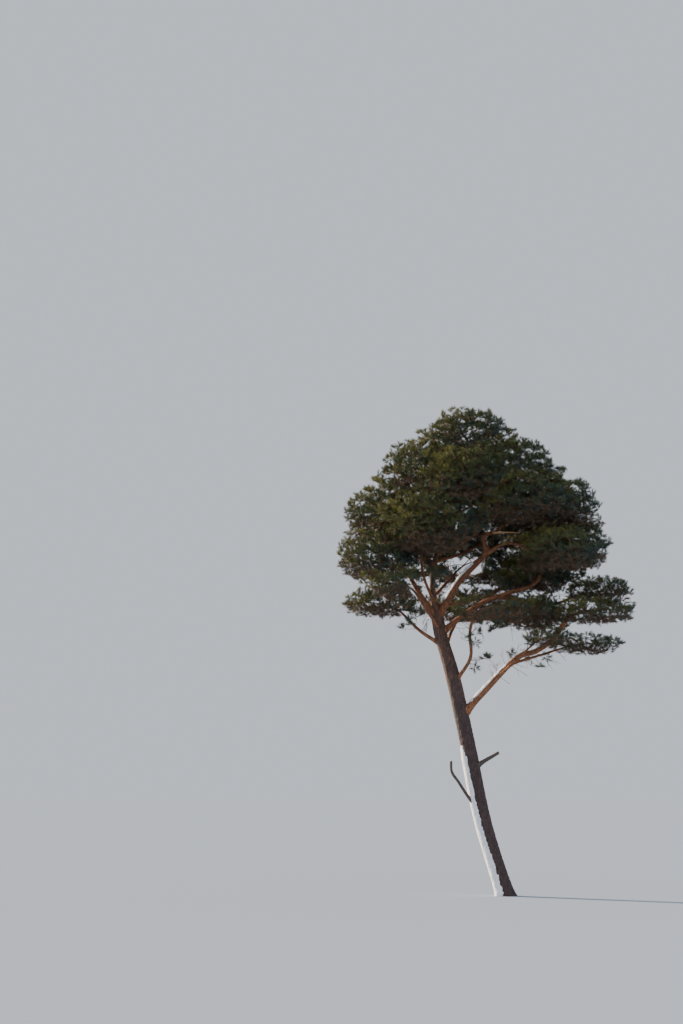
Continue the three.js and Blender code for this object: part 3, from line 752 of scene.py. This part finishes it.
def wood_samples():
    """Points along the trunk and every limb, with the radius there and whose they are."""
    rows = []
    owners = []
    for limb in (None, *LIVE_LIMBS, *DEAD_LIMBS, BROKEN_LIMB):
        path = evenly(paths[limb["name"]] if limb else trunk_path, WOOD_SAMPLES)
        shares = np.linspace(0, 1, WOOD_SAMPLES + 1)
        radius = limb_radius(limb, shares) if limb else bare_radius(path[:, 2])
        rows.append(np.column_stack([path, radius]))
        owners += [limb["name"] if limb else "trunk"] * len(path)
    return np.vstack(rows), np.array(owners)


WOOD, WOOD_OWNER = wood_samples()
CENTRES = np.array([centre for centre, _ in SPACES.values()])
HALVES = np.array([half for _, half in SPACES.values()])


def clear_samples():
    """Points along the limbs that stay in clear view, with the room that they need."""
    samples = []
    for name, (start, end) in CLEAR_STRETCHES.items():
        own = WOOD[WOOD_OWNER == name]
        samples.append(own[round(start * WOOD_SAMPLES):round(end * WOOD_SAMPLES) + 1])
    return np.vstack(samples)


CLEAR_WOOD = clear_samples()


def hides_limb(points):
    """Which points stand before one of the limbs in clear view."""
    ahead = CLEAR_WOOD[:, 1] - points[:, 1:2]
    gap = points[:, None, ::2] - CLEAR_WOOD[:, :3:2] + ahead[..., None] * SIGHT_DRIFT
    return ((ahead > 0) & (norm(gap, axis=2) < CLEAR_WOOD[:, 3] + CLEAR_ROOM)).any(axis=1)


def in_own_space(index, points, limit=SPRAY_LIMIT, overlap=SPRAY_OVERLAP):
    """Which points lie in a mass's own space, nearer to its centre than to any other's.

    The space ends in knobs. Up in the crown it also takes in the hollow between it and its neighbour.
    """
    depth = norm((points[:, None] - CENTRES) / HALVES, axis=2)
    own = depth[:, index].copy()
    depth[:, index] = np.inf
    next_best = depth.min(axis=1)
    knobs = np.array([noise.noise(point) for point in points / KNOB_SIZE])
    reach = limit + KNOB_DEPTH * knobs
    if index not in OPEN_PLATES:
        in_core = norm((points - CORE_CENTRE) / CORE_HALF, axis=1) < 1
        between = np.where(in_core, CORE_BETWEEN, BETWEEN_REACH)
        reach = np.where(next_best < between, limit + between - 1, reach)
    sighted = points[:, ::2] - WINDOW_CENTRE - points[:, 1:2] * SIGHT_DRIFT
    outside_window = norm(sighted / WINDOW_HALF, axis=1) > 1 + 0.5 * knobs
    return (own < reach) & (own < next_best + overlap) & outside_window & ~hides_limb(points)


def in_box(points):
    """Which points lie in the box of the whole tree."""
    return (points > BOX_LOW).all(axis=-1) & (points < BOX_HIGH).all(axis=-1)


def wood_near(name, but_not=""):
    """The samples of wood round a mass's space, without those of one owner."""
    centre, half = SPACES[name]
    close = norm(WOOD[:, :3] - centre, axis=1) < half.max() + WOOD_SEARCH
    return WOOD[close & (WOOD_OWNER != but_not)]


def clear_of_wood(points, radius, wood):
    gap = norm(points[:, None] - wood[:, :3], axis=2) - wood[:, 3]
    return (gap > radius + TWIG_CLEARANCE).all(axis=1)


def bezier(a, b, c, d, steps):
    t = np.linspace(0, 1, 100)[:, None]
    fine = a * (1 - t) ** 3 + 3 * b * t * (1 - t) ** 2 + 3 * c * t ** 2 * (1 - t) + d * t ** 3
    return evenly(fine, steps)


def bowed(start, bend, end, steps):
    """A path that bows towards one point on its way."""
    return bezier(start, bend, bend, end, steps)


def stem_of(name):
    """The stem of a mass: it starts at its bough's tip and runs on through the space."""
    centre, half = SPACES[name]
    limb = growth_of(name)
    carrier = paths[limb["name"]] if limb else trunk_path
    heading = unit(carrier[-1] - carrier[-2]) if limb else UP
    start = carrier[-1]
    out = centre - start
    outward = unit(np.array((out[0], out[1], 0.0) if limb else TOP_STEM_LEAN, float))
    far = centre + (outward[0] * half[0] * STEM_REACH, outward[1] * half[1] * STEM_REACH, half[2] * STEM_RISE)
    near = start + heading * norm(far - start) * STEM_STRAIGHT
    girth = limb["girth"][1] if limb else TRUNK_STATIONS[-1][3]
    owner = limb["name"] if limb else "trunk"
    return bezier(start, near, centre, far, 16), girth * STEM_GIRTH, outward, owner


def first_twigs(index, name, near):
    """The stem and side twigs that the solid model has too: their paths and their radius at both ends."""
    centre, half = SPACES[name]
    draws = seeded(FIRST_SEED + SEED_STEP * index)
    stem, girth, outward, owner = stem_of(name)
    twigs = [(stem, girth, TWIG_TIP_RADIUS)]
    out_angle = math.atan2(outward[1], outward[0])
    turn = (next(draws) - 0.5) * SIDE_TURN
    for i in range(SIDE_TWIGS):
        angle = out_angle + turn + (i + 0.5) * GOLDEN_ANGLE
        side = 1 if i % 2 == 0 else SIDE_DROP
        level = side * (SIDE_LEVEL + SIDE_LEVEL_SPREAD * (next(draws) - 0.5))
        end = centre + half * (math.cos(angle) * SIDE_REACH, math.sin(angle) * SIDE_REACH, level)
        lowest, middle, highest = SIDE_ROOT
        share = min(max(middle + SIDE_ROOT_SPREAD * math.cos(angle - out_angle), lowest), highest)
        root = at_share(stem, share)
        if not clear_of_wood(end[None], TWIG_TIP_RADIUS, near)[0]:
            continue
        radius = (girth + (TWIG_TIP_RADIUS - girth) * share) * SIDE_GIRTH
        bow = (root + end) / 2 + UP * norm(end - root) * 0.08
        twigs.append((bowed(root, bow, end, 10), radius, TWIG_TIP_RADIUS))
    return twigs, owner


def spread_ends(index, name, wood, random):
    """Where the finer twigs end: evenly spaced points in the upper and outer parts of the space."""
    centre, half = SPACES[name]
    furthest = END_FURTHEST_OPEN if index in OPEN_PLATES else END_FURTHEST
    way = unit_rows(random.normal(size=(END_TRIES, 3)))
    depth = END_NEAREST + (furthest - END_NEAREST) * random.random(END_TRIES) ** 0.45
    points = centre + way * depth[:, None] * half
    fits = in_own_space(index, points, END_LIMIT, 0.02) & clear_of_wood(points, 0.09, wood)
    fits &= (way[:, 2] * depth > END_LOWEST) & in_box(points + way * END_INSIDE_BOX)
    kept = []
    for point in points[fits]:
        if not kept or norm(np.array(kept) - point, axis=1).min() > END_SPACING:
            kept.append(point)
    return np.array(kept)


def branch_to(ends, twigs, random):
    """Fine twigs to each end in turn, the inner ones first, each from the nearest wood grown so far."""
    grown = []
    roots = np.vstack([path[2:] for path, _, _ in twigs])
    order = np.argsort([norm(roots - end, axis=1).min() for end in ends])
    for end in ends[order]:
        gap = norm(roots - end, axis=1) + 0.35 * np.maximum(roots[:, 2] - end[2], 0)
        root = roots[gap.argmin()]
        span = norm(end - root)
        side = unit(random.normal(size=3)) * span * 0.14
        first = root + (end - root) * 0.35 + side - UP * span * 0.05
        second = root + (end - root) * 0.7 + side * 0.6 - UP * span * 0.1
        path = bezier(root, first, second, end, 5)
        grown.append((path, FINE_RADIUS + FINE_GIRTH_PER_METRE * min(span, 0.8), FINE_TIP_RADIUS))
        roots = np.vstack([roots, path[2:-1]])
    return grown


def bare_side_twigs(index, wood, twigs, random):
    """Dead leafless twigs in the shade under the needles, each with one side twig."""
    made = []
    carriers = np.vstack([path[1:-1] for path, _, _ in twigs])
    for start in carriers[random.integers(0, len(carriers), BARE_TWIGS)]:
        away = unit(random.normal(size=3) * (1, 1, 0.5) + (0, 0, -0.25))
        length = random.uniform(*BARE_LENGTH)
        bend = start + away * length * 0.5 + unit(random.normal(size=3)) * length * 0.16
        end = start + away * length + unit(random.normal(size=3)) * length * 0.2
        fork = at_share(np.array((start, bend, end)), random.uniform(0.5, 0.8))
        side = fork + unit(away + random.normal(size=3) * 0.7) * length * 0.45
        tips = np.array((end, side))
        if (in_own_space(index, tips) & clear_of_wood(tips, 0.01, wood) & in_box(tips)).all():
            main = bowed(start, bend, end, 4)
            fork = at_share(main, 0.55)
            made += [(main, 0.0065, 0.0025), (bowed(fork, (fork + side) / 2, side, 2), 0.004, 0.0018)]
    return made


def tube_arrays(path, thick, thin, sides):
    """Vertices and quads of a slim tapering tube, its far end drawn nearly to a point."""
    along, across, above = carried_frames(path)
    steps = len(path) - 1
    radius = thick + (thin - thick) * np.linspace(0, 1, steps + 1)
    turn = np.arange(sides) * 2 * math.pi / sides
    ring = around(across[:, None], above[:, None], turn)
    vertices = (path[:, None] + ring * radius[:, None, None]).reshape(-1, 3)
    row, side = np.meshgrid(np.arange(steps), np.arange(sides), indexing="ij")
    low = row * sides
    after = (side + 1) % sides
    quads = np.stack([low + side, low + after, low + sides + after, low + sides + side], axis=-1)
    return vertices, quads.reshape(-1, 4)


def beside(heading):
    """Two directions square to each heading and to each other."""
    across = unit_rows(np.cross(heading, np.where(np.abs(heading[:, 2:]) < 0.9, UP, (1.0, 0, 0))))
    return across, np.cross(heading, across)


def spike_arrays(root, heading, length):
    """Vertices and triangles of three-sided spikes, one for each shoot."""
    across, above = beside(heading)
    ring = around(across[:, None], above[:, None], np.arange(3) * 2 * math.pi / 3)
    tip = root + heading * length[:, None]
    vertices = np.concatenate([root[:, None] + ring * SHOOT_RADIUS, tip[:, None]], axis=1)
    sides = np.array(((0, 1, 3), (1, 2, 3), (2, 0, 3)))
    triangles = np.arange(len(root))[:, None, None] * 4 + sides
    return vertices.reshape(-1, 3), triangles.reshape(-1, 3)


def mesh_from(name, vertices, *faces, tones=None):
    """One mesh from joined arrays of faces, each array with its own number of corners."""
    mesh = bpy.data.meshes.new(name)
    corners = np.concatenate([np.full(len(some), some.shape[1]) for some in faces])
    mesh.vertices.add(len(vertices))
    mesh.vertices.foreach_set("co", np.asarray(vertices, np.float32).ravel())
    mesh.loops.add(int(corners.sum()))
    mesh.loops.foreach_set("vertex_index", np.concatenate([some.ravel() for some in faces]).astype(np.int32))
    mesh.polygons.add(len(corners))
    mesh.polygons.foreach_set("loop_start", (np.cumsum(corners) - corners).astype(np.int32))
    if tones is not None:
        mesh.polygons.foreach_set("material_index", np.asarray(tones, np.int32))
    mesh.update(calc_edges=True)
    return mesh


def joined(parts):
    """The vertices and the faces of several parts as one array of each."""
    firsts = np.cumsum([0] + [len(vertices) for vertices, _ in parts[:-1]])
    faces = [own + first for (_, own), first in zip(parts, firsts)]
    return np.vstack([vertices for vertices, _ in parts]), np.vstack(faces)


def twig_mesh(name, tubes, spikes):
    """One mesh of all the twigs and shoots of a piece."""
    tube_points, quads = joined(tubes)
    spike_points, triangles = joined(spikes)
    return mesh_from(name, np.vstack([tube_points, spike_points]), quads, triangles + len(tube_points))


# Needles. They stand in pairs all round the young shoots, thickest towards the bud, and each shoot with
# its needles makes one bushy spray. Sunlight and shade are painted into their tones: the upper sprays that
# face the sun take a painted sunlit tone, those inside the crown a painted dark shade.
NEEDLE_PIECES = {
    "top": ("crown_top", "upper_back"),
    "crown": ("upper_right", "upper_left", "upper_front"),
    "right": ("right_shoulder", "front_right_high", "right_mid", "front_right"),
    "left": ("left_shoulder", "front_left_high", "left_mid"),
    "back": ("back_right_high", "back_left_high", "back_centre", "back_right"),
    "low": ("left_low", "front_left_low", "back_low", "back_right_low", "inner_plate", "plate_mid"),
    "plates": ("plate_right_upper", "plate_right", "plate_right_low", "plate_right_inner", "right_inner"),
}
SHOOTS_PER_END = 10
SHOOT_LENGTH = (0.13, 0.2)
PAIRS_PER_SHOOT = 13
PAIR_SPREAD = 0.26
NEEDLE_LENGTH = (0.078, 0.118)
NEEDLE_HALF_WIDTH = 0.0058
# How far down in its mass a spray takes the brown underside tone, twig brown with painted shade
UNDERSIDE_SHADE_BELOW = 0.12
# The direction from which sunlight is painted into the needles' tones
SUN = unit(np.array((-0.7, 0.1, 0.7)))


def spread_shoots(index, name, ends, wood, random):
    """Shoots round the end of each fine twig, fanned outwards and upwards: root, direction and length."""
    centre, half = SPACES[name]
    count = len(ends) * SHOOTS_PER_END
    order = np.tile(np.arange(SHOOTS_PER_END), len(ends))
    tilt = 1 - 1.25 * (order + 0.5) / SHOOTS_PER_END
    turn = order * GOLDEN_ANGLE + np.repeat(random.random(len(ends)) * 2 * math.pi, SHOOTS_PER_END)
    flat = np.sqrt(np.maximum(1 - tilt ** 2, 0))
    fan = np.stack([flat * np.cos(turn), flat * np.sin(turn), tilt], axis=1)
    outward = np.repeat(unit_rows((ends - centre) / half), SHOOTS_PER_END, axis=0)
    heading = unit_rows(fan + outward * 0.55 + UP * 0.12 + random.normal(size=(count, 3)) * 0.16)
    root = np.repeat(ends, SHOOTS_PER_END, axis=0) + random.normal(size=(count, 3)) * 0.02
    length = random.uniform(*SHOOT_LENGTH, count)
    tip = root + heading * (length + 0.06)[:, None]
    fits = in_own_space(index, tip) & clear_of_wood(tip, 0.05, wood) & in_box(tip)
    return root[fits], heading[fits], length[fits]


def tones_of(name, root, heading, random):
    """Which of the tones each spray takes, with sunlight and shade painted in: by how it faces the sun, its
    place and by chance.
    """
    centre, half = SPACES[name]
    place = (root - centre) / half
    facing = 0.5 + 0.32 * place @ SUN + 0.2 * heading @ SUN
    patch = np.array([noise.noise(point) for point in root / 0.7])
    light = facing + 0.3 * patch + random.normal(size=len(root)) * 0.1
    # Painted light: the brighter the spray's place and heading towards the sun, the more sunlit its tone
    tones = np.digitize(light, (0.3, 0.48, 0.68, 0.86))
    under = -place[:, 2] - 0.4 * norm(place[:, :2], axis=1) + random.normal(size=len(root)) * 0.25
    # Sprays under the mass take the brown tone: the twigs' brown with painted shade
    tones[under > UNDERSIDE_SHADE_BELOW] = len(NEEDLE_TONES) - 1
    return tones


def needle_arrays(root, heading, length, random):
    """Slender pointed faces, one for each needle, that stand in pairs all along and round the shoots."""
    count = len(root)
    across, above = beside(heading)
    step = np.arange(PAIRS_PER_SHOOT)
    place = 0.2 + 0.8 * ((step + 0.5) / PAIRS_PER_SHOOT) ** 0.8
    turn = step * GOLDEN_ANGLE + random.random((count, 1)) * 2 * math.pi
    lean = 1.0 - 0.6 * place + random.normal(size=(count, PAIRS_PER_SHOOT)) * 0.12
    ring = around(across[:, None], above[:, None], turn)
    way = heading[:, None] * np.cos(lean)[..., None] + ring * np.sin(lean)[..., None]
    apart = unit_rows(np.cross(way, ring + random.normal(size=ring.shape) * 0.6))
    start = root[:, None] + heading[:, None] * (length[:, None] * place)[..., None]
    corners = []
    for side in (-1, 1):
        needle = way + apart * side * PAIR_SPREAD
        flat = unit_rows(np.cross(needle, random.normal(size=ring.shape))) * NEEDLE_HALF_WIDTH
        reach = random.uniform(*NEEDLE_LENGTH, (count, PAIRS_PER_SHOOT))[..., None]
        corners += [start - flat, start + flat, start + needle * reach]
    return np.stack(corners, axis=2).reshape(-1, 3)


def needle_mesh(name, corners, tones):
    """One mesh of loose needles, three corners to each, with the tone of each."""
    return mesh_from(name, corners, np.arange(len(corners)).reshape(-1, 3), tones=tones)


def needle_material(name, colour):
    material, tree, shader, place = fresh_material("needles_" + name)
    shader.inputs["Base Color"].default_value = (*colour, 1)
    shader.inputs["Specular IOR Level"].default_value = 0.3
    tree.links.new(ramped(tree, uneven(tree, place, 40), -0.8, 1), shader.inputs["Roughness"])
    return material


# Painted light and shade: the tones run from a painted blue shade through dark, green and olive to a painted
# sunlit yellow-green
NEEDLE_TONES = [needle_material(*tone) for tone in (
    ("blue_shade", (0.043, 0.072, 0.062)),
    ("dark", (0.055, 0.078, 0.044)),
    ("green", (0.075, 0.096, 0.038)),
    ("olive", (0.102, 0.108, 0.036)),
    ("sunlit", (0.155, 0.155, 0.037)),
    # Twig brown with painted shade, for the sprays under each mass
    ("underside_brown_shade", (0.112, 0.078, 0.05)),
)]


def twig_material():
    material, tree, shader, place = fresh_material("twig_bark")
    mottle = uneven(tree, place, 14, 4)
    colour = mixed(tree, ramped(tree, mottle, 0.35, 0.68), (0.07, 0.038, 0.024), (0.19, 0.1, 0.055))
    surfaced(tree, shader, colour, ramped(tree, mottle, -1.6, 0.8))
    return material


TWIG_BARK = twig_material()
order_of = {name: i for i, (name, *_) in enumerate(MASSES)}
for piece, names in NEEDLE_PIECES.items():
    corners, tones, tubes, spikes = [], [], [], []
    for name in names:
        index = order_of[name]
        random = np.random.default_rng(FIRST_SEED + SEED_STEP * index)
        near = wood_near(name)
        twigs, owner = first_twigs(index, name, near)
        ends = spread_ends(index, name, near, random)
        fine = branch_to(ends, twigs, random)
        bare = bare_side_twigs(index, wood_near(name, owner), twigs + fine, random)
        root, heading, length = spread_shoots(index, name, ends, near, random)
        corners.append(needle_arrays(root, heading, length, random))
        tones.append(np.repeat(tones_of(name, root, heading, random), 2 * PAIRS_PER_SHOOT))
        tubes += [tube_arrays(*twig, 6) for twig in twigs] + [tube_arrays(*twig, 3) for twig in fine + bare]
        spikes.append(spike_arrays(root, heading, length))
    nodes_of = ["needles_" + name for name in names]
    mesh = needle_mesh("needles_on_" + piece, np.vstack(corners), np.concatenate(tones))
    finished(mesh, nodes_of, NEEDLE_TONES)
    finished(twig_mesh("twigs_in_" + piece, tubes, spikes), nodes_of, [TWIG_BARK])


# Twigs on the boughs. Thin side twigs are left all along the live boughs, most of them dead, bare and
# reddish brown. On some boughs a share of them is alive and ends in tufts of needles.
TWIGS_PER_METRE = 9
TWIG_LENGTH = (0.22, 0.62)
TUFTED = {"bough_long_right": 0.9, "fork_left": 0.6, "bough_pale": 0.8, "fork_right": 0.35,
          "bough_crooked": 0.3, "bough_inner_right": 0.6, "bough_low_right": 0.12}
TUFTED_ELSEWHERE = 0.2
TUFT_SHOOTS = 7


def twigs_along(limb, random):
    """Twigs that leave a limb at random, each with two side twigs, and the ends of the live ones."""
    path = paths[limb["name"]]
    made, ends = [], []
    alive = TUFTED.get(limb["name"], TUFTED_ELSEWHERE)
    for share in random.uniform(0.3, 1, round(length_of(path) * TWIGS_PER_METRE)):
        start = at_share(path, share)
        along = unit(at_share(path, min(share + 0.02, 1)) - at_share(path, share - 0.02))
        away = unit(np.cross(along, random.normal(size=3)) + along * random.uniform(0.1, 0.9) + UP * 0.15)
        reach = random.uniform(*TWIG_LENGTH)
        bend = start + away * reach * 0.5 + random.normal(size=3) * reach * 0.06
        end = start + away * reach + random.normal(size=3) * reach * 0.12
        if not in_box(end + away * 0.1):
            continue
        main = bowed(start, bend, end, 5)
        made.append((main, 0.0085, 0.003))
        if random.random() < alive and in_box(end + away * 0.3):
            ends.append(end)
        for place in random.uniform(0.35, 0.85, 2):
            fork = at_share(main, place)
            side = fork + unit(away + random.normal(size=3) * 0.6) * reach * 0.4
            made.append((bowed(fork, (fork + side) / 2, side, 2), 0.005, 0.002))
    return made, ends


def tuft_shoots(ends, random):
    """Short shoots that spread upwards from the end of each live twig: root, direction and length."""
    count = len(ends) * TUFT_SHOOTS
    heading = unit_rows(random.normal(size=(count, 3)) + UP * 0.6)
    root = np.repeat(ends, TUFT_SHOOTS, axis=0)
    length = random.uniform(*SHOOT_LENGTH, count) * 0.8
    clear = ~hides_limb(root + heading * length[:, None])
    return root[clear], heading[clear], length[clear]


random = np.random.default_rng(FIRST_SEED)
tubes, ends = [], []
for limb in LIVE_LIMBS:
    twigs, live = twigs_along(limb, random)
    tubes += [tube_arrays(*twig, 3) for twig in twigs]
    ends += live
root, heading, length = tuft_shoots(np.array(ends), random)
spikes = [spike_arrays(root, heading, length)]
every_limb = [limb["name"] for limb in LIVE_LIMBS]
finished(twig_mesh("twigs_on_boughs", tubes, spikes), every_limb, [TWIG_BARK])
corners = needle_arrays(root, heading, length, random)
tones = np.repeat(random.integers(0, 3, len(root)), 2 * PAIRS_PER_SHOOT)
finished(needle_mesh("needles_on_boughs", corners, tones), every_limb, NEEDLE_TONES)


# Floor. A plain pale studio floor that carries nothing but the tree's shadow.
bm = bmesh.new()
bmesh.ops.create_circle(bm, cap_ends=True, segments=96, radius=400)
floor = in_scene("floor", mesh_of(bm, "floor"))
pale, _, shader, _ = fresh_material("pale_floor")
shader.inputs["Base Color"].default_value = (0.278, 0.332, 0.43, 1)
shader.inputs["Roughness"].default_value = 1
shader.inputs["Specular IOR Level"].default_value = 0
floor.data.materials.append(pale)


# Light. A soft warm key comes from the left and a little from behind, as low winter sun does, and a
# cool even sky and a weak fill from the front light all the rest.
def far_light(name, place, strength, spread, colour):
    data = bpy.data.lights.new(name, "SUN")
    data.energy = strength
    data.angle = math.radians(spread)
    data.color = colour
    lamp = in_scene(name, data)
    lamp.location = Vector(place) * 40
    lamp.rotation_euler = (-Vector(place)).to_track_quat("-Z", "Y").to_euler()


far_light("key_light", (-0.74, 0.52, 0.36), 14, 4, (1.0, 0.8, 0.56))
far_light("soft_fill", (0.1, -0.86, 0.5), 0.45, 60, (0.9, 0.94, 1.0))
world = bpy.data.worlds.new("pale_sky")
world.use_nodes = True
world.node_tree.nodes["Background"].inputs["Color"].default_value = (0.66, 0.7, 0.77, 1)
world.node_tree.nodes["Background"].inputs["Strength"].default_value = 1
bpy.context.scene.world = world


# Camera. It stands far off at a walker's height on rising ground and looks up a little at the crown.
camera_data = bpy.data.cameras.new("camera")
camera_data.lens = 75.3
camera_data.sensor_width = 36
camera_data.clip_end = 2000
camera = in_scene("camera", camera_data)
camera.location = (-4.55, -60, 3)
camera.rotation_euler = (math.radians(90 + 7.3), 0, 0)
bpy.context.scene.camera = camera
